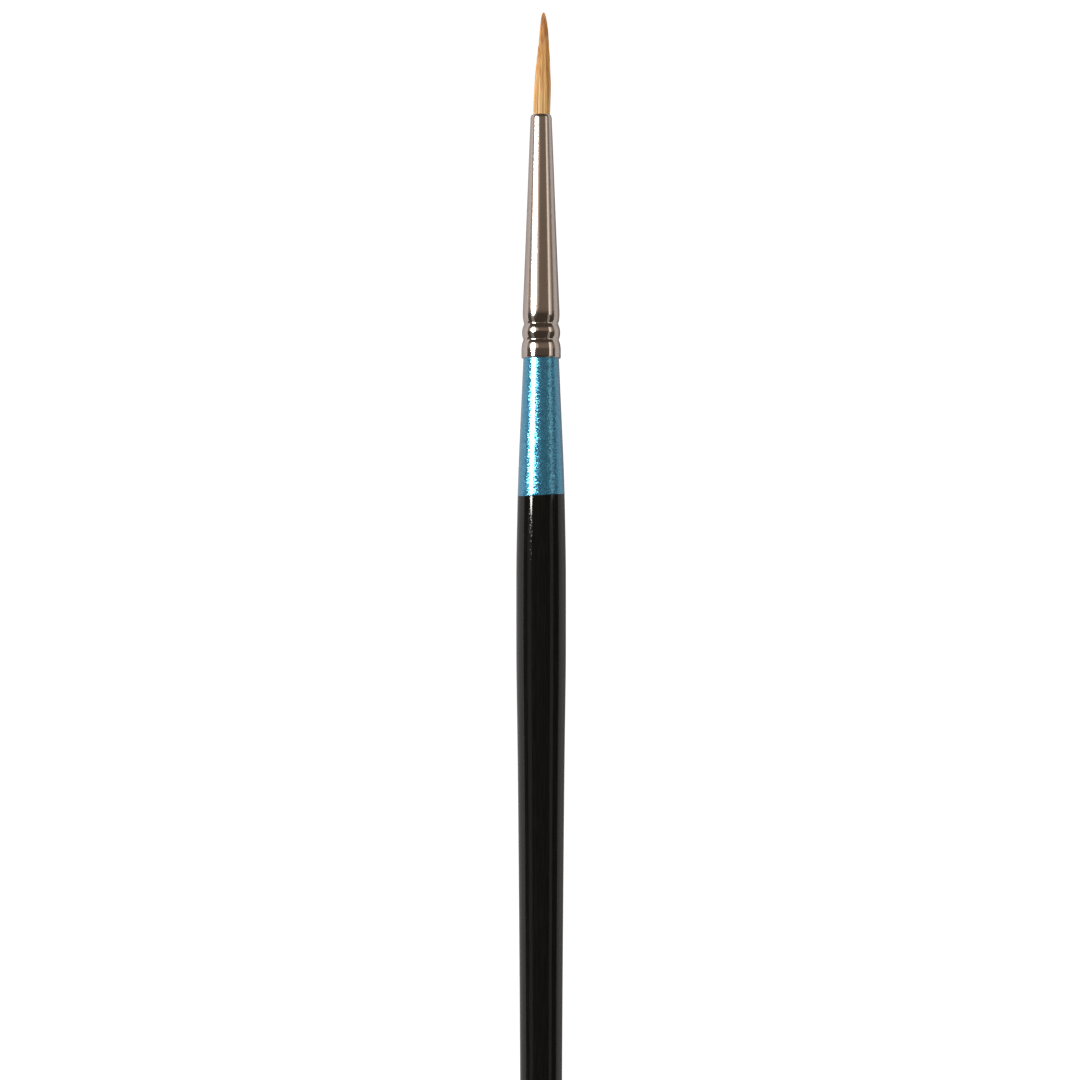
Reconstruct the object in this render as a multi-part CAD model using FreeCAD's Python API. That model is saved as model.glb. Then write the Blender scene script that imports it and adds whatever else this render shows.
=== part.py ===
"""Small round detail brush, lying on its side along +X with the tuft at the +X end.

The brush is turned about one axis, so each piece is a revolved outline. An outline point is
(station, radius): the station is the distance behind the ferrule's mouth, in millimetres, so it is
positive towards the butt of the handle and negative towards the tip of the tuft.
The origin is on the axis, at the middle of the handle's thickest stretch, where the brush is held.
"""

import FreeCAD
import Part

import math
import os

# Driving dimensions, in millimetres and degrees
OVERALL_LENGTH = 184.0
TUFT_LENGTH = 12.9  # free length of the filaments
TUFT_RADIUS = 1.02  # at the mouth, and the radius of the rounded heel that the tuft bends on
FERRULE_LENGTH = 30.4
FERRULE_WALL = 0.26
MOUTH_BORE_RADIUS = 1.08
LIP_STATION = 0.6  # where the rounded lip runs out into the cone
LIP_FLAT = 0.06
SKIRT_STATION = 29.35  # front of the skirt's cylinder
SKIRT_ROUND = 0.1
SKIRT_RADIUS = 2.462
BELLY_RADIUS = 3.11  # the thickest stretch of the handle, which is a true cylinder
BELLY_FRONT = 58.0
BELLY_BACK = 66.0
BUTT_RADIUS = 2.35  # where the rounded butt begins
BUTT_DOME_LENGTH = 3.6
COAT_THICKNESS = 0.1
DIP_LINE = 47.55  # station of the line between the blue and the black coat, on the axis
DIP_LINE_TILT = 2.7
TENON_LENGTH = 9.5  # handle wood inside the ferrule
TENON_CHAMFER = 0.5
GLUE_THICKNESS = 0.07
GLUE_LENGTH = 8.9
ROOT_RADIUS = 1.03
ROOT_LENGTH = 10.0  # filament length set inside the ferrule
HINGE_STATION = -0.6  # centre of the tuft's bend, just outside the mouth
HEEL_CLEARANCE = 0.03
TIP_RADIUS = 0.12
TIP_FLAT_RADIUS = 0.04
POINT_CORE_RADIUS = 0.5  # the long filaments that make the point run inside the shorter ones
BELLY_FILAMENT_END = -9.0
RESIN_FRONT = 4.0
RESIN_BACK = 12.0
THREAD_DIAMETER = 0.2
THREAD_PITCH = 0.18
THREAD_TURNS = 7
THREAD_FRONT = 7.8
THREAD_CLEARANCE = 0.02

# Worked out from the driving dimensions
MOUTH_X = (BELLY_FRONT + BELLY_BACK) / 2
BUTT_STATION = OVERALL_LENGTH - TUFT_LENGTH
DOME_STATION = BUTT_STATION - BUTT_DOME_LENGTH
TENON_STATION = FERRULE_LENGTH - TENON_LENGTH
AXIS = FreeCAD.Vector(1, 0, 0)

# Outlines: the few points each curve passes through, and its slopes at the ends
CONE = [(LIP_STATION, 1.34), (5.6, 1.545), (13.1, 1.835), (24.2, 2.288)]
CONE_SLOPES = (0.041, 0.041)
CRIMPS = [(24.2, 2.288), (24.7, 2.303), (25.1, 2.3), (25.45, 2.274), (25.75, 2.225), (25.98, 2.16)]
CRIMPS += [(26.08, 2.14), (26.18, 2.155), (26.42, 2.25), (26.65, 2.325), (26.92, 2.373), (27.2, 2.388)]
CRIMPS += [(27.5, 2.366), (27.78, 2.31), (27.98, 2.248), (28.08, 2.228), (28.18, 2.243), (28.4, 2.325)]
CRIMPS += [(28.63, 2.388), (28.92, 2.432), (29.15, 2.453), (SKIRT_STATION, SKIRT_RADIUS)]
CRIMP_SLOPES = (0.041, 0.0)
HANDLE_FRONT = [(FERRULE_LENGTH, 2.235), (38.0, 2.57), (45.6, 2.885), (51.5, 3.025)]
HANDLE_FRONT += [(BELLY_FRONT, BELLY_RADIUS)]
HANDLE_FRONT_SLOPES = (0.041, 0.0)
HANDLE_REAR = [(BELLY_BACK, BELLY_RADIUS), (75.6, 3.005), (90.0, 2.845), (105.6, 2.7175)]
HANDLE_REAR += [(120.0, 2.625), (DOME_STATION, BUTT_RADIUS)]
HANDLE_REAR_SLOPES = (0.0, -0.0058)
TUFT = [(HINGE_STATION, TUFT_RADIUS), (-2.0, 1.045), (-4.4, 0.975), (-6.9, 0.795)]
TUFT += [(-9.1, 0.61), (-11.1, 0.42), (-12.3, 0.235)]
TUFT_SLOPES = (0.0, 0.19)


def at(station, radius):
    """Point of an outline, in the plane of the axis."""
    return FreeCAD.Vector(MOUTH_X - station, 0, radius)


def curve(points, slopes, inset=0.0):
    """Smooth edge through outline points, moved towards the axis by inset."""
    spline = Part.BSplineCurve()
    ends = [FreeCAD.Vector(-1, 0, slope) for slope in slopes]
    if points[0][0] > points[-1][0]:
        ends = [end * -1 for end in ends]
    spline.interpolate(
        Points=[at(station, radius - inset) for station, radius in points],
        InitialTangent=ends[0],
        FinalTangent=ends[1],
    )
    return spline.toShape()


def line(start, end):
    return Part.LineSegment(at(*start), at(*end)).toShape()


def rounded(start, corner, end):
    """Quarter ellipse from start to end that rounds off the corner between them."""
    ellipse = Part.BezierCurve()
    ellipse.setPoles([at(*start), at(*corner), at(*end)])
    ellipse.setWeight(2, math.sqrt(0.5))
    return ellipse.toShape()


def turned(edges):
    """Solid of revolution from the closed outline that the edges make."""
    face = Part.Face(Part.Wire(Part.__sortEdges__(edges)))
    return face.revolve(FreeCAD.Vector(0, 0, 0), AXIS, 360)


def cylinder(radius, front, back):
    """Solid cylinder on the axis, from station front to station back."""
    return Part.makeCylinder(radius, back - front, at(back, 0), AXIS)


def ball(radius):
    """Ball at the centre of the tuft's bend."""
    return Part.makeSphere(radius, at(HINGE_STATION, 0))


def bore_fill(inset, front, back):
    """What fills the ferrule's bore from front to back, less a gap of inset at the wall."""
    deep = FERRULE_WALL + inset
    mouth = (LIP_STATION, CONE[0][1] - deep)
    skirt_front = (SKIRT_STATION, SKIRT_RADIUS - deep)
    skirt_back = (FERRULE_LENGTH, SKIRT_RADIUS - deep)
    whole = turned(
        [
            line((LIP_STATION, 0), mouth),
            curve(CONE, CONE_SLOPES, deep),
            curve(CRIMPS, CRIMP_SLOPES, deep),
            line(skirt_front, skirt_back),
            line(skirt_back, (FERRULE_LENGTH, 0)),
            line((FERRULE_LENGTH, 0), (LIP_STATION, 0)),
        ]
    )
    return whole.common(cylinder(SKIRT_RADIUS, front, back))


def handle_body(inset):
    """The handle behind the ferrule, with its surface moved in by inset."""
    front = (FERRULE_LENGTH, HANDLE_FRONT[0][1] - inset)
    dome_radius = BUTT_RADIUS - inset
    butt = BUTT_STATION - inset
    return turned(
        [
            line((FERRULE_LENGTH, 0), front),
            curve(HANDLE_FRONT, HANDLE_FRONT_SLOPES, inset),
            line((BELLY_FRONT, BELLY_RADIUS - inset), (BELLY_BACK, BELLY_RADIUS - inset)),
            curve(HANDLE_REAR, HANDLE_REAR_SLOPES, inset),
            rounded((DOME_STATION, dome_radius), (butt, dome_radius), (butt, 0)),
            line((butt, 0), (FERRULE_LENGTH, 0)),
        ]
    )


def ahead_of_dip_line():
    """Block that holds everything ahead of the tilted line between the two coats."""
    side = 4 * BELLY_RADIUS
    block = Part.makeBox(OVERALL_LENGTH, side, side, FreeCAD.Vector(0, -side / 2, -side / 2))
    block.rotate(FreeCAD.Vector(0, 0, 0), FreeCAD.Vector(0, 0, 1), DIP_LINE_TILT)
    block.translate(at(DIP_LINE, 0))
    return block


def handle_core():
    """Turned birch handle with its tenon, which the ferrule's two crimps bite into."""
    tenon = bore_fill(GLUE_THICKNESS, TENON_STATION, FERRULE_LENGTH)
    tenon_end = tenon.BoundBox.ZMax
    blank = Part.makeCone(
        tenon_end - TENON_CHAMFER,
        tenon_end + TENON_LENGTH - TENON_CHAMFER,
        TENON_LENGTH,
        at(TENON_STATION, 0),
        AXIS * -1,
    )
    return tenon.common(blank).fuse(handle_body(COAT_THICKNESS)).removeSplitter()


def coats():
    """The two lacquer coats over the handle's wood, split along the dip line."""
    shell = handle_body(0).cut(handle_body(COAT_THICKNESS))
    front = ahead_of_dip_line()
    return shell.common(front), shell.cut(front)


def ferrule():
    """Tapered one-piece tube with a rounded lip, two crimp grooves and a plain skirt."""
    wall = FERRULE_WALL
    lip_inner = (0, MOUTH_BORE_RADIUS + LIP_FLAT)
    lip_corner = (0, CONE[0][1])
    skirt_front = (FERRULE_LENGTH - SKIRT_ROUND, SKIRT_RADIUS)
    skirt_corner = (FERRULE_LENGTH, SKIRT_RADIUS)
    skirt_edge = (FERRULE_LENGTH, SKIRT_RADIUS - SKIRT_ROUND)
    skirt_inner = (FERRULE_LENGTH, SKIRT_RADIUS - wall)
    return turned(
        [
            line((0, MOUTH_BORE_RADIUS), lip_inner),
            rounded(lip_inner, lip_corner, CONE[0]),
            curve(CONE, CONE_SLOPES),
            curve(CRIMPS, CRIMP_SLOPES),
            line((SKIRT_STATION, SKIRT_RADIUS), skirt_front),
            rounded(skirt_front, skirt_corner, skirt_edge),
            line(skirt_edge, skirt_inner),
            line(skirt_inner, (SKIRT_STATION, SKIRT_RADIUS - wall)),
            curve(CRIMPS, CRIMP_SLOPES, wall),
            curve(CONE, CONE_SLOPES, wall),
            line((LIP_STATION, CONE[0][1] - wall), (0, MOUTH_BORE_RADIUS)),
        ]
    )


def tenon_glue():
    """Glue between the tenon and the ferrule's wall."""
    front = FERRULE_LENGTH - GLUE_LENGTH
    outer = bore_fill(0, front, FERRULE_LENGTH)
    return outer.cut(bore_fill(GLUE_THICKNESS, LIP_STATION, FERRULE_LENGTH))


def filament_roots():
    """The set ends of the filaments, with the round hollow that the tuft's heel turns in."""
    return cylinder(ROOT_RADIUS, 0, ROOT_LENGTH).cut(ball(TUFT_RADIUS + HEEL_CLEARANCE))


def binding_thread():
    """Thread wound round the filaments, as turns pressed side by side into one band."""
    wound_radius = ROOT_RADIUS + THREAD_DIAMETER / 2 + THREAD_CLEARANCE / 2
    turns = []
    for turn in range(THREAD_TURNS):
        centre = at(THREAD_FRONT + turn * THREAD_PITCH, 0)
        turns.append(Part.makeTorus(wound_radius, THREAD_DIAMETER / 2, centre, AXIS))
    return turns[0].multiFuse(turns[1:])


def resin_plug():
    """Cured resin that holds the filament roots and their thread in the ferrule."""
    room = THREAD_DIAMETER / 2 + THREAD_CLEARANCE
    pocket = cylinder(
        ROOT_RADIUS + THREAD_DIAMETER + THREAD_CLEARANCE,
        THREAD_FRONT - room,
        THREAD_FRONT + (THREAD_TURNS - 1) * THREAD_PITCH + room,
    )
    plug = bore_fill(0, RESIN_FRONT, RESIN_BACK)
    return plug.cut(cylinder(ROOT_RADIUS, 0, ROOT_LENGTH)).cut(pocket)


def filaments():
    """The short outer filaments and the long inner ones, as two plain closed solids."""
    tip = (-TUFT_LENGTH, 0)
    tip_corner = (-TUFT_LENGTH, TIP_RADIUS)
    tip_edge = (-TUFT_LENGTH, TIP_FLAT_RADIUS)
    whole = turned(
        [
            line((HINGE_STATION, 0), TUFT[0]),
            curve(TUFT, TUFT_SLOPES),
            rounded(TUFT[-1], tip_corner, tip_edge),
            line(tip_edge, tip),
            line(tip, (HINGE_STATION, 0)),
        ]
    ).fuse(ball(TUFT_RADIUS))
    core = cylinder(POINT_CORE_RADIUS, BELLY_FILAMENT_END, -HINGE_STATION)
    ahead = cylinder(2 * TUFT_RADIUS, -TUFT_LENGTH - 1, BELLY_FILAMENT_END)
    inner = core.fuse(ahead)
    return whole.cut(inner), whole.common(inner)


def main():
    blue, black = coats()
    belly, point = filaments()
    pieces = {
        "handle_core": handle_core(),
        "black_lacquer_coat": black,
        "blue_lacquer_coat": blue,
        "ferrule": ferrule(),
        "tenon_glue": tenon_glue(),
        "resin_plug": resin_plug(),
        "binding_thread": binding_thread(),
        "filament_roots": filament_roots(),
        "belly_filaments": belly,
        "point_filaments": point,
    }
    os.makedirs("parts", exist_ok=True)
    for name, shape in pieces.items():
        (solid,) = shape.Solids
        solid.exportStep(f"parts/{name}.step")
        box = solid.optimalBoundingBox()
        print(
            f"{name}: valid {solid.isValid()}, volume {solid.Volume:.3f} mm3,"
            f" x {box.XMin:.2f} to {box.XMax:.2f}, z {box.ZMin:.2f} to {box.ZMax:.2f}"
        )


main()
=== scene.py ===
import math
import random

import bmesh
import bpy
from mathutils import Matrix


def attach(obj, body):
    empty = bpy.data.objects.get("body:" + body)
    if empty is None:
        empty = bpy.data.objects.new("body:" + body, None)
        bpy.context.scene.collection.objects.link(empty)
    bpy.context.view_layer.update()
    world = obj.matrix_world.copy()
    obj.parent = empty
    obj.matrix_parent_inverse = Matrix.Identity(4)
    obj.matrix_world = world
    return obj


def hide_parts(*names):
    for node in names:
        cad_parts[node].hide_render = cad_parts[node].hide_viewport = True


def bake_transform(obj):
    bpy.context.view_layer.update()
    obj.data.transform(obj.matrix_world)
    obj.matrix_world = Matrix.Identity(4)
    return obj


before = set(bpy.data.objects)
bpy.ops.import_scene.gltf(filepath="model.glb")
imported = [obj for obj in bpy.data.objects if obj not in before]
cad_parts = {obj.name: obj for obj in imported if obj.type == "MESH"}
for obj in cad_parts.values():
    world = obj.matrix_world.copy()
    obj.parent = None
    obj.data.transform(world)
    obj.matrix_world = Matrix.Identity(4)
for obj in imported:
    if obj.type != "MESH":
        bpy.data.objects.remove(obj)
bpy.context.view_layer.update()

# A small round detail brush. The brush's lengths are in millimetres, and become metres where a vertex
# is placed. A station is the distance behind the ferrule's mouth, so it is negative on the tuft.
# Outlines are lists of (station, radius). TUFT and LEAN run forward from the mouth instead.
MM = 0.001
GRIP_STATION = 62.0  # the frame's origin
TUFT_LENGTH = 12.9
FERRULE_LENGTH = 30.4
FERRULE_WALL = 0.26
MOUTH_BORE_RADIUS = 1.08
LIP_STATION = 0.6
LIP_FLAT = 0.06
SKIRT_STATION = 29.35
SKIRT_RADIUS = 2.462
SKIRT_ROUND = 0.1
BELLY_RADIUS = 3.11
BELLY_FRONT = 58.0
BELLY_BACK = 66.0
BUTT_STATION = 171.1
DOME_STATION = 167.5
BUTT_RADIUS = 2.35
COAT_THICKNESS = 0.1
DIP_LINE = 47.55
DIP_LINE_TILT = 0.052
DIP_WAVE = 0.02
DIP_REACH = 6.0  # the tilt and the wave fade out this far from the line
GROOVES = (26.08, 28.08)
JAWS = 12
JAW_RIDGE = 0.035
JAW_TURN = math.radians(50)
JAW_WIDTH = 0.16  # of the ridges' ends, along the brush
JAW_EDGE = 5.0  # how narrow the ridges are around the brush
BEAD_EDGE = 0.09  # rounding of the blue coat's rear edge
BEAD_RUN = 0.3  # the coat rises to that edge over twice this length
BEAD_BUILD = 0.014
CONE_SLOPE = 0.041  # radius gained per millimetre towards the handle
AROUND = 288  # segments of a turned piece
SHARP_ANGLE = math.radians(50)
SPLINE_PASSES = 60  # enough for a spline's slopes to settle

CONE = [(LIP_STATION, 1.34), (5.6, 1.545), (13.1, 1.835), (24.2, 2.288)]
CRIMPS = [(24.2, 2.288), (24.7, 2.303), (25.1, 2.3), (25.45, 2.274), (25.75, 2.225), (25.98, 2.16)]
CRIMPS += [(26.08, 2.14), (26.18, 2.155), (26.42, 2.25), (26.65, 2.325), (26.92, 2.373), (27.2, 2.388)]
CRIMPS += [(27.5, 2.366), (27.78, 2.31), (27.98, 2.248), (28.08, 2.228), (28.18, 2.243), (28.4, 2.325)]
CRIMPS += [(28.63, 2.388), (28.92, 2.432), (29.15, 2.453), (SKIRT_STATION, SKIRT_RADIUS)]
HANDLE_FRONT = [(FERRULE_LENGTH, 2.235), (38.0, 2.57), (45.6, 2.885), (51.5, 3.025)]
HANDLE_FRONT += [(BELLY_FRONT, BELLY_RADIUS)]
HANDLE_REAR = [(BELLY_BACK, BELLY_RADIUS), (75.6, 3.005), (90.0, 2.845), (105.6, 2.7175)]
HANDLE_REAR += [(120.0, 2.625), (DOME_STATION, BUTT_RADIUS)]
TUFT = [(0.0, 1.065), (1.9, 1.075), (3.2, 1.055), (4.4, 1.015), (5.7, 0.935), (6.9, 0.84), (8.2, 0.735)]
TUFT += [(9.2, 0.66), (10.7, 0.53), (11.7, 0.415), (12.3, 0.315), (12.65, 0.23), (TUFT_LENGTH, 0.11)]
LEAN = [(0.0, 0.06), (2.9, 0.15), (5.7, 0.23), (8.2, 0.31), (11.2, 0.34), (TUFT_LENGTH, 0.3)]


def smooth(points, first_slope, last_slope):
    """Cubic spline through the points, with these slopes at its ends, as a function of station."""
    xs = [point[0] for point in points]
    ys = [point[1] for point in points]
    gaps = [b - a for a, b in zip(xs, xs[1:])]
    rises = [(b - a) / gap for a, b, gap in zip(ys, ys[1:], gaps)]
    slopes = [first_slope] + [0.0] * (len(xs) - 2) + [last_slope]
    for _ in range(SPLINE_PASSES):
        for i in range(1, len(xs) - 1):
            before, after = gaps[i - 1], gaps[i]
            pull = 3 * (rises[i - 1] / before + rises[i] / after)
            pull -= slopes[i - 1] / before + slopes[i + 1] / after
            slopes[i] = pull / (2 / before + 2 / after)

    def value(x):
        i = 0
        while i < len(gaps) - 1 and x > xs[i + 1]:
            i += 1
        t = min(max((x - xs[i]) / gaps[i], 0.0), 1.0)
        near = (1 + 2 * t) * (1 - t) ** 2 * ys[i] + t * (1 - t) ** 2 * gaps[i] * slopes[i]
        far = t * t * (3 - 2 * t) * ys[i + 1] - t * t * (1 - t) * gaps[i] * slopes[i + 1]
        return near + far

    return value


def run(curve, start, end, step, inset=0.0):
    """Outline points along a curve from one station to another."""
    count = max(1, round(abs(end - start) / step))
    stations = [start + (end - start) * i / count for i in range(count + 1)]
    return [(station, curve(station) - inset) for station in stations]


def rounded(start, corner, end, count):
    """Outline points of a quarter ellipse that rounds off the corner between start and end."""
    points = []
    for i in range(count + 1):
        turn = math.pi / 2 * i / count
        a, b = 1 - math.sin(turn), 1 - math.cos(turn)
        point = [corner[k] + (start[k] - corner[k]) * a + (end[k] - corner[k]) * b for k in (0, 1)]
        points.append(tuple(point))
    return points


def place(station, radius, angle):
    """Vertex in metres. Angle 0 points up and a quarter turn points to +Y."""
    return ((GRIP_STATION - station) * MM, radius * math.sin(angle) * MM, radius * math.cos(angle) * MM)


def piece_from(name, vertices, faces):
    """Smooth-shaded object with its faces turned outwards."""
    mesh = bpy.data.meshes.new(name)
    mesh.from_pydata(vertices, [], faces)
    shape = bmesh.new()
    shape.from_mesh(mesh)
    bmesh.ops.recalc_face_normals(shape, faces=shape.faces)
    shape.to_mesh(mesh)
    shape.free()
    mesh.shade_smooth()
    mesh.set_sharp_from_angle(angle=SHARP_ANGLE)
    piece = bpy.data.objects.new(name, mesh)
    bpy.context.scene.collection.objects.link(piece)
    return piece


def joined(near, far):
    """Faces between two rings of vertex numbers, either of which may be one vertex on the axis."""
    count = max(len(near), len(far))
    faces = []
    for i in range(count):
        j = (i + 1) % count
        if len(near) == 1:
            faces.append((near[0], far[i], far[j]))
        elif len(far) == 1:
            faces.append((near[i], far[0], near[j]))
        else:
            faces.append((near[i], far[i], far[j], near[j]))
    return faces


def turned(name, outline, warp):
    """Closed piece of revolution. Its outline runs from the axis to the axis, or round a closed loop."""
    vertices, rings = [], []
    for station, radius in outline:
        angles = [2 * math.pi * i / AROUND for i in range(AROUND)] if radius > 0 else [0.0]
        rings.append(range(len(vertices), len(vertices) + len(angles)))
        for angle in angles:
            vertices.append(place(*warp(station, radius, angle), angle))
    faces = []
    for near, far in zip(rings, rings[1:]):
        faces += joined(near, far)
    if len(rings[0]) > 1:
        faces += joined(rings[-1], rings[0])
    return piece_from(name, vertices, faces)


handle_front = smooth(HANDLE_FRONT, first_slope=CONE_SLOPE, last_slope=0.0)
handle_rear = smooth(HANDLE_REAR, first_slope=0.0, last_slope=-0.0058)
cone = smooth(CONE, first_slope=CONE_SLOPE, last_slope=CONE_SLOPE)
crimps = smooth(CRIMPS, first_slope=CONE_SLOPE, last_slope=0.0)
tuft_radius = smooth(TUFT, first_slope=0.02, last_slope=-0.9)
lean = smooth(LEAN, first_slope=0.0, last_slope=-0.02)


def handle_radius(station):
    if station <= BELLY_FRONT:
        return handle_front(station)
    if station >= BELLY_BACK:
        return handle_rear(station)
    return BELLY_RADIUS


# Pieces


def jaw_marks(station, radius, angle):
    """The crimping jaws leave a small ridge between each two of them at the bottom of each groove."""
    nearness = sum(math.exp(-(((station - groove) / JAW_WIDTH) ** 2)) for groove in GROOVES)
    between = math.exp(JAW_EDGE * (math.cos(JAWS * (angle - JAW_TURN)) - 1))
    return station, radius + JAW_RIDGE * nearness * between


def make_ferrule():
    """Drawn tube with a rounded lip, two crimped grooves and a straight skirt."""
    lip = (0.0, MOUTH_BORE_RADIUS + LIP_FLAT)
    outline = [(0.0, MOUTH_BORE_RADIUS)]
    outline += rounded(lip, (0.0, CONE[0][1]), CONE[0], 14)
    outline += run(cone, LIP_STATION, CONE[-1][0], 0.6)[1:]
    outline += run(crimps, CRIMPS[0][0], SKIRT_STATION, 0.05)[1:]
    outline += run(lambda station: SKIRT_RADIUS, SKIRT_STATION, FERRULE_LENGTH - SKIRT_ROUND, 0.2)[1:]
    corner = (FERRULE_LENGTH, SKIRT_RADIUS)
    outline += rounded(outline[-1], corner, (FERRULE_LENGTH, SKIRT_RADIUS - SKIRT_ROUND), 8)[1:]
    outline += [(FERRULE_LENGTH, SKIRT_RADIUS - FERRULE_WALL), (SKIRT_STATION, SKIRT_RADIUS - FERRULE_WALL)]
    outline += run(crimps, SKIRT_STATION, CRIMPS[0][0], 0.2, FERRULE_WALL)[1:]
    outline += run(cone, CONE[-1][0], LIP_STATION, 0.8, FERRULE_WALL)[1:]
    return turned("ferrule_shell", outline, jaw_marks)


def dip_shift(station, radius, angle):
    """Moves the coats' outlines so that the line between them is tilted and slightly uneven."""
    reach = max(0.0, 1 - abs(station - DIP_LINE) / DIP_REACH)
    fade = reach * reach * (3 - 2 * reach)
    shift = DIP_LINE_TILT * radius * math.sin(angle)
    shift += DIP_WAVE * (math.sin(3 * angle + 0.8) + 0.6 * math.sin(7 * angle + 2.0))
    return station + shift * fade, radius


def make_blue_coat():
    """The blue coat's rear edge is a slightly raised, rounded bead of lacquer."""
    outline = run(handle_radius, FERRULE_LENGTH, DIP_LINE - 2 * BEAD_RUN, 0.2)
    crest = (DIP_LINE - BEAD_EDGE, handle_radius(DIP_LINE) + BEAD_BUILD)
    outline += [(DIP_LINE - BEAD_RUN, handle_radius(DIP_LINE - BEAD_RUN) + 0.5 * BEAD_BUILD), crest]
    outline += rounded(crest, (DIP_LINE, crest[1]), (DIP_LINE, crest[1] - BEAD_EDGE), 7)[1:]
    outline += run(handle_radius, DIP_LINE, FERRULE_LENGTH, 0.8, COAT_THICKNESS)
    return turned("blue_lacquer_skin", outline, dip_shift)


def dome(inset, count):
    """Outline points of the handle's rounded end, this far inside the coat, down to the axis."""
    radius, end = BUTT_RADIUS - inset, BUTT_STATION - inset
    points = rounded((DOME_STATION, radius), (end, radius), (end, 0.0), count)
    return points[:-1] + [(end, 0.0)]


def make_black_coat():
    outline = dome(COAT_THICKNESS, 12)[::-1]
    outline += run(handle_radius, DOME_STATION, DIP_LINE, 2.0, COAT_THICKNESS)[1:]
    outline += run(handle_radius, DIP_LINE, DOME_STATION, 0.5)
    outline += dome(0.0, 24)[1:]
    return turned("black_lacquer_skin", outline, dip_shift)


FILAMENTS = 620
GOLDEN_ANGLE = math.radians(137.508)
SHORTEST = 0.5  # how much shorter the outermost filaments are than the longest one
LENGTH_SPREAD = 0.25
POINT_SHARE = 0.52  # filaments nearer the middle than this make the point
FULLNESS = 1.2  # filaments are this much thicker than an even share of the tuft
TAPER = 1.2  # length of a filament's own point
SWIRL = 0.02  # most that a filament starts or turns out of its place around the tuft, in radians
STRAY = 0.004  # most that a filament waves in and out
STRAY_TURN = 0.7  # of that wave, in radians per millimetre
FILAMENT_SIDES = 6
FILAMENT_STEPS = 30
STEP_CROWDING = 1.35  # above 1, the steps crowd towards the point
ROOT_DEPTH = 0.4


def reach_of(along):
    """Share of the filaments' spread, from 0 to 1, that still runs this far along the tuft, also 0 to 1."""
    return min(1.0, (max(1 - along, 0.0001) / SHORTEST) ** (1 / 3))


def filament(rank, draw):
    """Rings of one tapered filament, as (station, y, z, radius), that together follow the tuft's outline."""
    share = math.sqrt((rank + 0.5) / FILAMENTS)
    angle = rank * GOLDEN_ANGLE + draw.uniform(-SWIRL, SWIRL)
    shortening = draw.uniform(1 - LENGTH_SPREAD, 1 + LENGTH_SPREAD)
    length = TUFT_LENGTH * (1 - SHORTEST * share**3 * shortening)
    swirl = draw.uniform(-SWIRL, SWIRL)
    phase = draw.uniform(0, 2 * math.pi)
    stray = draw.uniform(0.0, STRAY)
    rings = []
    for step in range(FILAMENT_STEPS + 1):
        t = step / FILAMENT_STEPS
        out = -ROOT_DEPTH + (length + ROOT_DEPTH) * (1 - (1 - t) ** STEP_CROWDING)
        along = max(out, 0.0)
        reach = reach_of(along / TUFT_LENGTH)
        thickness = FULLNESS * tuft_radius(along) / (math.sqrt(FILAMENTS) * reach)
        end = min(1.0, (length - out) / TAPER)
        radius = thickness * max(math.sqrt(max(end, 0.0)), 0.02)
        off = min(1.0, share / reach) * (tuft_radius(along) - 0.6 * thickness)
        off += stray * math.sin(STRAY_TURN * along + phase)
        around = angle + swirl * along / TUFT_LENGTH
        y = off * math.sin(around) - lean(along)
        z = off * math.cos(around)
        rings.append((-out, y, z, radius))
    return rings


def make_filaments(name, ranks, draw):
    """One object of many filaments, each with its own tone from 0 to 1 for the material."""
    vertices, faces, tones = [], [], []
    for rank in ranks:
        tone = draw.random()
        last = None
        for station, y, z, radius in filament(rank, draw):
            ring = range(len(vertices), len(vertices) + FILAMENT_SIDES)
            for side in range(FILAMENT_SIDES):
                angle = 2 * math.pi * side / FILAMENT_SIDES
                x = GRIP_STATION - station
                vertex = (x, y + radius * math.sin(angle), z + radius * math.cos(angle))
                vertices.append([value * MM for value in vertex])
                tones.append(tone)
            if last:
                faces += joined(last, ring)
            else:
                faces.append(tuple(reversed(ring)))
            last = ring
        faces.append(tuple(last))
    piece = piece_from(name, vertices, faces)
    piece.data.attributes.new("tone", "FLOAT", "POINT").data.foreach_set("value", tones)
    return piece


# Materials


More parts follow.
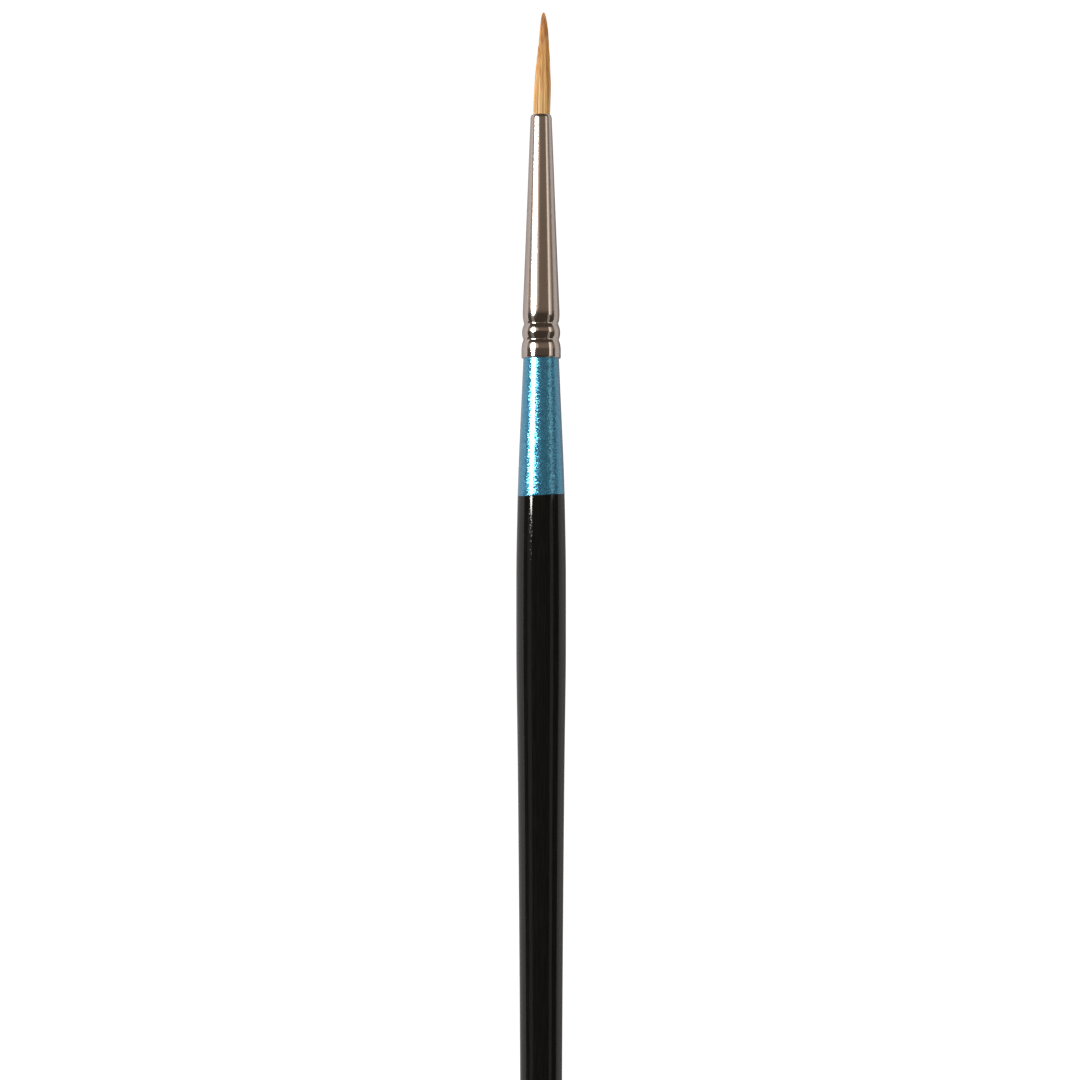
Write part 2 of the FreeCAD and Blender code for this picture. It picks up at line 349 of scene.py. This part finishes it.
class Graph:
    """A material's node tree, with short calls to add nodes."""

    def __init__(self, name, sockets):
        self.material = bpy.data.materials.new(name)
        self.material.use_nodes = True
        self.tree = self.material.node_tree
        self.shader = self.tree.nodes["Principled BSDF"]
        for socket, value in sockets.items():
            self.shader.inputs[socket].default_value = value

    def add(self, kind, settings=None, **values):
        """Adds a node. Values are numbers, colours or other nodes' outputs, by socket name or as _number."""
        node = self.tree.nodes.new("ShaderNode" + kind)
        for key, value in (settings or {}).items():
            setattr(node, key, value)
        for key, value in values.items():
            socket = node.inputs[int(key[1:])] if key[0] == "_" else node.inputs[key]
            if isinstance(value, bpy.types.NodeSocket):
                self.tree.links.new(value, socket)
            else:
                socket.default_value = value
        return node

    def space(self, *stretch):
        """Object coordinates in millimetres, divided by the stretch along each axis."""
        here = self.add("TexCoord").outputs["Object"]
        scale = [1 / (MM * value) for value in stretch]
        return self.add("Mapping", Vector=here, Scale=scale).outputs["Vector"]

    def along(self):
        """Object X in millimetres."""
        return self.add("SeparateXYZ", Vector=self.space(1.0, 1.0, 1.0)).outputs["X"]

    def noise(self, stretch, detail):
        return self.add("TexNoise", Vector=self.space(*stretch), Scale=1.0, Detail=detail).outputs[0]

    def cells(self, stretch, output):
        return self.add("TexVoronoi", Vector=self.space(*stretch), Scale=1.0).outputs[output]

    def spread(self, value, low, high, new_low, new_high):
        """Maps a range of values to another range."""
        return self.add("MapRange", None, _0=value, _1=low, _2=high, _3=new_low, _4=new_high).outputs[0]

    def mix(self, share, first, second):
        """Blend of two colours."""
        return self.add("Mix", {"data_type": "RGBA"}, _0=share, _6=first, _7=second).outputs[2]

    def vector(self, operation, **values):
        return self.add("VectorMath", {"operation": operation}, **values).outputs[0]

    def join(self, output, socket):
        self.tree.links.new(output, self.shader.inputs[socket])

    def bump(self, height, depth, under=None):
        """Relief of this depth in millimetres."""
        node = self.add("Bump", Height=height, Distance=depth * MM, Strength=1.0)
        if under:
            self.tree.links.new(under, node.inputs["Normal"])
        return node.outputs["Normal"]


def nickel():
    """Nickel plate, burnished bright around the grooves and a little duller along the drawn cone."""
    g = Graph("nickel_plate", {"Metallic": 1.0})
    g.shader.inputs["Specular Tint"].default_value = (0.78, 0.75, 0.73, 1)
    haze = g.noise((14.0, 3.0, 3.0), 1.0)
    lines = g.noise((0.08, 8.0, 8.0), 2.0)
    wave = g.noise((9.0, 1.6, 1.6), 1.0)
    tint = g.mix(g.spread(haze, 0.35, 0.65, 0.0, 1.0), (0.68, 0.61, 0.585, 1), (0.63, 0.56, 0.53, 1))
    g.join(tint, "Base Color")
    groove, cone_end = GRIP_STATION - GROOVES[0], GRIP_STATION - CONE[-1][0] + 1.0
    drawn = g.spread(g.along(), groove, cone_end, 0.0, 0.085)
    polish = g.spread(haze, 0.3, 0.7, 0.06, 0.08)
    g.join(g.add("Math", {"operation": "ADD"}, _0=polish, _1=drawn).outputs[0], "Roughness")
    relief = g.bump(lines, 0.0002)
    g.join(g.bump(wave, 0.002, relief), "Normal")
    return g.material


def blue_lacquer():
    """Clear-coated metallic blue. Each flake is tilted its own way, so a few of them flash."""
    coat = {"Coat Weight": 1.0, "Coat Roughness": 0.03, "Coat IOR": 1.5}
    g = Graph("blue_metallic", {"Metallic": 0.86, **coat})
    flakes = g.cells((0.1, 0.1, 0.1), "Color")
    shade = g.add("SeparateColor", Color=flakes)
    cloud = g.noise((1.2, 0.8, 0.8), 2.0)
    base = g.mix(shade.outputs[0], (0.045, 0.26, 0.46, 1), (0.10, 0.43, 0.67, 1))
    g.join(g.mix(g.spread(cloud, 0.3, 0.7, 0.0, 0.35), base, (0.04, 0.24, 0.44, 1)), "Base Color")
    g.join(g.spread(shade.outputs[1], 0.0, 1.0, 0.14, 0.3), "Roughness")
    centred = g.vector("SUBTRACT", _0=flakes, _1=(0.5, 0.5, 0.5))
    tilt = g.vector("SCALE", _0=centred, Scale=0.27)
    tilted = g.vector("ADD", _0=g.add("NewGeometry").outputs["Normal"], _1=tilt)
    g.join(g.vector("NORMALIZE", _0=tilted), "Normal")
    g.join(g.bump(g.noise((2.5, 0.9, 0.9), 1.0), 0.003), "Coat Normal")
    return g.material


def black_lacquer():
    """Gloss black lacquer, with fine wood grain that shows through it and small dust nibs."""
    g = Graph("black_gloss", {"IOR": 1.5})
    grain = g.noise((3.0, 0.2, 0.2), 3.0)
    wave = g.noise((9.0, 1.4, 1.4), 1.0)
    nibs = g.cells((0.26, 0.2, 0.2), "Distance")
    deep, pale = (0.0022, 0.0022, 0.002, 1), (0.0045, 0.0043, 0.004, 1)
    g.join(g.mix(g.spread(grain, 0.35, 0.7, 0.0, 1.0), deep, pale), "Base Color")
    g.join(g.spread(grain, 0.4, 0.7, 0.03, 0.06), "Roughness")
    relief = g.bump(wave, 0.002)
    relief = g.bump(grain, 0.0004, relief)
    g.join(g.bump(g.spread(nibs, 0.0, 0.3, 1.0, 0.0), 0.0022, relief), "Normal")
    return g.material


def filament_finish(name):
    """Satin synthetic filament, light at the ferrule and warmer towards the point, in streaks."""
    scatter = {"Subsurface Weight": 0.7, "Subsurface Scale": 0.6 * MM}
    g = Graph(name, {"IOR": 1.5, "Specular IOR Level": 0.12, **scatter})
    g.shader.inputs["Subsurface Radius"].default_value = (1.0, 0.85, 0.7)
    light, middle, dark = (0.88, 0.51, 0.20, 1), (0.73, 0.305, 0.075, 1), (0.42, 0.115, 0.015, 1)
    tone = g.add("Attribute", {"attribute_name": "tone"}).outputs["Fac"]
    streaks = g.noise((14.0, 0.22, 0.22), 1.0)
    warmth = g.spread(g.along(), GRIP_STATION + 1.0, GRIP_STATION + 6.0, 0.0, 0.8)
    own = g.mix(warmth, light, middle)
    own = g.mix(g.spread(tone, 0.6, 1.0, 0.0, 0.6), own, light)
    own = g.mix(g.spread(tone, 0.0, 0.35, 0.45, 0.0), own, dark)
    g.join(g.mix(g.spread(streaks, 0.38, 0.54, 0.7, 0.0), own, dark), "Base Color")
    g.join(g.spread(streaks, 0.3, 0.7, 0.32, 0.45), "Roughness")
    g.join(g.bump(g.noise((0.4, 0.03, 0.03), 2.0), 0.001), "Normal")
    return g.material


def birch():
    g = Graph("birch_wood", {"IOR": 1.45})
    fibres = g.noise((9.0, 0.18, 0.18), 4.0)
    rings = g.noise((60.0, 1.1, 1.1), 1.0)
    base = g.mix(g.spread(fibres, 0.35, 0.7, 0.0, 1.0), (0.62, 0.44, 0.27, 1), (0.47, 0.31, 0.17, 1))
    g.join(g.mix(g.spread(rings, 0.45, 0.6, 0.0, 0.5), base, (0.68, 0.52, 0.34, 1)), "Base Color")
    g.join(g.spread(fibres, 0.3, 0.7, 0.5, 0.75), "Roughness")
    g.join(g.bump(fibres, 0.02), "Normal")
    return g.material


def resin():
    g = Graph("amber_resin", {"IOR": 1.52, "Coat Weight": 0.4, "Coat Roughness": 0.08})
    cloud = g.noise((1.0, 1.0, 1.0), 3.0)
    bubbles = g.cells((0.35, 0.35, 0.35), "Distance")
    base = g.mix(g.spread(cloud, 0.3, 0.7, 0.0, 1.0), (0.42, 0.24, 0.06, 1), (0.60, 0.40, 0.15, 1))
    g.join(base, "Base Color")
    g.join(g.spread(bubbles, 0.0, 0.5, 0.12, 0.35), "Roughness")
    g.join(g.bump(g.spread(bubbles, 0.05, 0.25, 0.0, 1.0), 0.02), "Normal")
    return g.material


def dried_glue():
    g = Graph("dried_glue", {"IOR": 1.48})
    lumps = g.noise((0.6, 0.4, 0.4), 4.0)
    base = g.mix(g.spread(lumps, 0.3, 0.7, 0.0, 1.0), (0.72, 0.64, 0.46, 1), (0.52, 0.42, 0.26, 1))
    g.join(base, "Base Color")
    g.join(g.spread(lumps, 0.3, 0.7, 0.3, 0.6), "Roughness")
    g.join(g.bump(lumps, 0.03), "Normal")
    return g.material


def waxed_thread():
    g = Graph("waxed_thread", {"IOR": 1.45, "Sheen Weight": 0.3})
    turns = g.space(0.5, 0.5, 0.5)
    twist = g.add("TexWave", {"bands_direction": "DIAGONAL"}, Vector=turns, Scale=3.0).outputs[1]
    fuzz = g.noise((0.05, 0.05, 0.05), 2.0)
    g.join(g.mix(twist, (0.50, 0.44, 0.34, 1), (0.78, 0.74, 0.64, 1)), "Base Color")
    g.join(g.spread(fuzz, 0.3, 0.7, 0.5, 0.8), "Roughness")
    g.join(g.bump(twist, 0.02), "Normal")
    return g.material


def set_filaments():
    """Filament roots set in resin."""
    g = Graph("set_filaments", {"IOR": 1.5})
    strands = g.noise((12.0, 0.09, 0.09), 2.0)
    base = g.mix(g.spread(strands, 0.35, 0.65, 0.0, 1.0), (0.20, 0.09, 0.03, 1), (0.55, 0.32, 0.14, 1))
    g.join(base, "Base Color")
    g.join(g.spread(strands, 0.3, 0.7, 0.3, 0.55), "Roughness")
    g.join(g.bump(strands, 0.03), "Normal")
    return g.material


def pale_floor():
    """Matt paper that also glows very slightly."""
    g = Graph("pale_floor", {"Roughness": 0.9, "Specular IOR Level": 0.1, "Emission Strength": 0.05})
    g.shader.inputs["Emission Color"].default_value = (1, 0.97, 0.95, 1)
    fibre = g.noise((3.0, 3.0, 3.0), 3.0)
    g.join(g.mix(fibre, (0.34, 0.34, 0.34, 1), (0.38, 0.38, 0.38, 1)), "Base Color")
    return g.material


def white_card():
    g = Graph("white_card", {"Emission Strength": 1.0})
    g.shader.inputs["Emission Color"].default_value = (1, 1, 1, 1)
    return g.material


# Studio. Its lengths are in metres.

STAGE_SIZE = 3.0
LIGHT_DISTANCE = 0.6
POWER_PER_AREA = 4  # of a panel whose radiance is 1


def stage_object(mesh, finish):
    """Object of the set, not of the brush."""
    stage = bpy.data.objects.new(mesh.name, mesh)
    bpy.context.scene.collection.objects.link(stage)
    mesh.materials.append(finish)
    return stage


def make_floor():
    """Pale floor that shades and mirrors in the object, under the white surround that the camera sees."""
    z = -BELLY_RADIUS * MM
    corners = [(x * STAGE_SIZE, y * STAGE_SIZE, z) for x, y in ((-1, -1), (1, -1), (1, 1), (-1, 1))]
    mesh = bpy.data.meshes.new("floor")
    mesh.from_pydata(corners, [], [(0, 1, 2, 3)])
    floor = stage_object(mesh, pale_floor())
    floor.visible_camera = False


def make_surround():
    """White shell around everything, which only the camera sees."""
    mesh = bpy.data.meshes.new("white_surround")
    shape = bmesh.new()
    bmesh.ops.create_icosphere(shape, subdivisions=3, radius=STAGE_SIZE)
    shape.to_mesh(mesh)
    shape.free()
    surround = stage_object(mesh, white_card())
    for kind in ("diffuse", "glossy", "transmission", "volume_scatter", "shadow"):
        setattr(surround, "visible_" + kind, False)


def panel(name, side, inner, outer, back, front, radiance, colour, shape="RECTANGLE"):
    """Soft light beside the brush, facing it.

    Side is 1 for +Y and -1 for -Y. Inner and outer are its edges' angles from straight up, in degrees,
    and back and front its ends along X, in metres.
    """
    middle = math.radians((inner + outer) / 2)
    width = 2 * LIGHT_DISTANCE * math.tan(math.radians((outer - inner) / 2))
    length = front - back
    light = bpy.data.lights.new(name, "AREA")
    light.shape = shape
    light.size = length
    light.size_y = width
    light.energy = POWER_PER_AREA * radiance * width * length
    light.color = colour
    lamp = bpy.data.objects.new(name, light)
    along = (back + front) / 2
    lamp.location = (along, side * LIGHT_DISTANCE * math.sin(middle), LIGHT_DISTANCE * math.cos(middle))
    lamp.rotation_euler = (-side * middle, 0, 0)
    bpy.context.scene.collection.objects.link(lamp)
    return lamp


def make_lights():
    white = (1.0, 0.97, 0.93)
    cream = (1.0, 0.93, 0.80)
    peach = (1.0, 0.86, 0.74)
    panel("key", 1, 36, 63, 0.042, 0.325, 18.0, white, "ELLIPSE")
    panel("key_glow", 1, 16, 78, 0.10, 0.34, 0.35, peach, "ELLIPSE")
    panel("key_low", 1, 46, 66, -0.60, 0.043, 0.16, white)
    panel("fill", -1, 49, 61, 0.05, 0.36, 0.8, cream)
    panel("fill_edge", -1, 61, 71, 0.05, 0.36, 0.3, cream)
    panel("fill_low", -1, 42, 58, -0.60, 0.05, 0.2, cream)
    soft = panel("soft_fill", -1, 0, 80, -0.25, 0.35, 1.5, white)
    soft.visible_glossy = False


def make_room():
    """Dim warm room, paler towards the horizon, and brightest a little ahead of straight up."""
    world = bpy.data.worlds.new("room")
    world.use_nodes = True
    bpy.context.scene.world = world
    nodes, links = world.node_tree.nodes, world.node_tree.links
    coordinates = nodes.new("ShaderNodeTexCoord")
    split = nodes.new("ShaderNodeSeparateXYZ")
    links.new(coordinates.outputs["Generated"], split.inputs[0])
    height = [(0.0, (0.33, 0.30, 0.275)), (0.22, (0.22, 0.175, 0.14)), (0.75, (0.21, 0.165, 0.125))]
    length = [(at, (value, value, value)) for at, value in ((0.03, 0.3), (0.2, 1), (0.3, 1), (0.6, 0.35))]
    for stops, axis, socket in ((height, "Z", "Color"), (length, "X", "Strength")):
        ramp = nodes.new("ShaderNodeValToRGB")
        ramp.color_ramp.interpolation = "EASE"
        elements = ramp.color_ramp.elements
        elements[0].position, elements[1].position = stops[0][0], stops[-1][0]
        for position, _ in stops[1:-1]:
            elements.new(position)
        for element, (_, colour) in zip(elements, stops):
            element.color = (*colour, 1)
        links.new(split.outputs[axis], ramp.inputs[0])
        links.new(ramp.outputs[0], nodes["Background"].inputs[socket])


CAMERA_DISTANCE = 0.28
VIEW_WIDTH = 0.135  # across the image at the brush's axis
VIEW_CENTRE = (0.0089, 0.00014)


def make_camera():
    data = bpy.data.cameras.new("camera")
    data.sensor_width = 36.0
    data.lens = data.sensor_width * CAMERA_DISTANCE / VIEW_WIDTH
    data.clip_start = 0.01
    camera = bpy.data.objects.new("camera", data)
    camera.location = (*VIEW_CENTRE, CAMERA_DISTANCE)
    camera.rotation_euler = (0, 0, math.radians(-90))
    bpy.context.scene.collection.objects.link(camera)
    bpy.context.scene.camera = camera


def finish_piece(piece, node, finish):
    """Gives a piece its material and puts it in the place of a node of the frame."""
    piece.data.materials.append(finish)
    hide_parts(node)


def make_handle():
    """The ferrule and the two coats, which ride on the handle."""
    turned_pieces = [
        (make_ferrule(), "ferrule", "nickel_plated_brass", nickel()),
        (make_blue_coat(), "blue_lacquer_coat", "blue_metallic_lacquer", blue_lacquer()),
        (make_black_coat(), "black_lacquer_coat", "black_lacquer", black_lacquer()),
    ]
    for piece, node, slot, finish in turned_pieces:
        finish_piece(piece, node, finish)
        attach(piece, "handle")


def make_tuft():
    """The inner filaments make the point and the rest the belly."""
    draw = random.Random(5)
    split = round(FILAMENTS * POINT_SHARE**2)
    bundles = [("point", range(split), "point_filament"), ("belly", range(split, FILAMENTS), "tan_filament")]
    for bundle, ranks, slot in bundles:
        piece = make_filaments(bundle + "_strands", ranks, draw)
        finish_piece(piece, bundle + "_filaments", filament_finish(bundle + "_filament"))
        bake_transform(piece)


def finish_hidden_nodes():
    """Materials for the pieces inside, whose meshes stay as they are."""
    hidden = {
        "handle_core": birch(),
        "tenon_glue": dried_glue(),
        "resin_plug": resin(),
        "binding_thread": waxed_thread(),
        "filament_roots": set_filaments(),
    }
    for name, finish in hidden.items():
        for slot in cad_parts[name].material_slots:
            slot.material = finish


def main():
    bpy.context.scene.view_settings.view_transform = "Standard"
    make_camera()
    make_lights()
    make_room()
    make_floor()
    make_surround()
    make_handle()
    make_tuft()
    finish_hidden_nodes()


main()
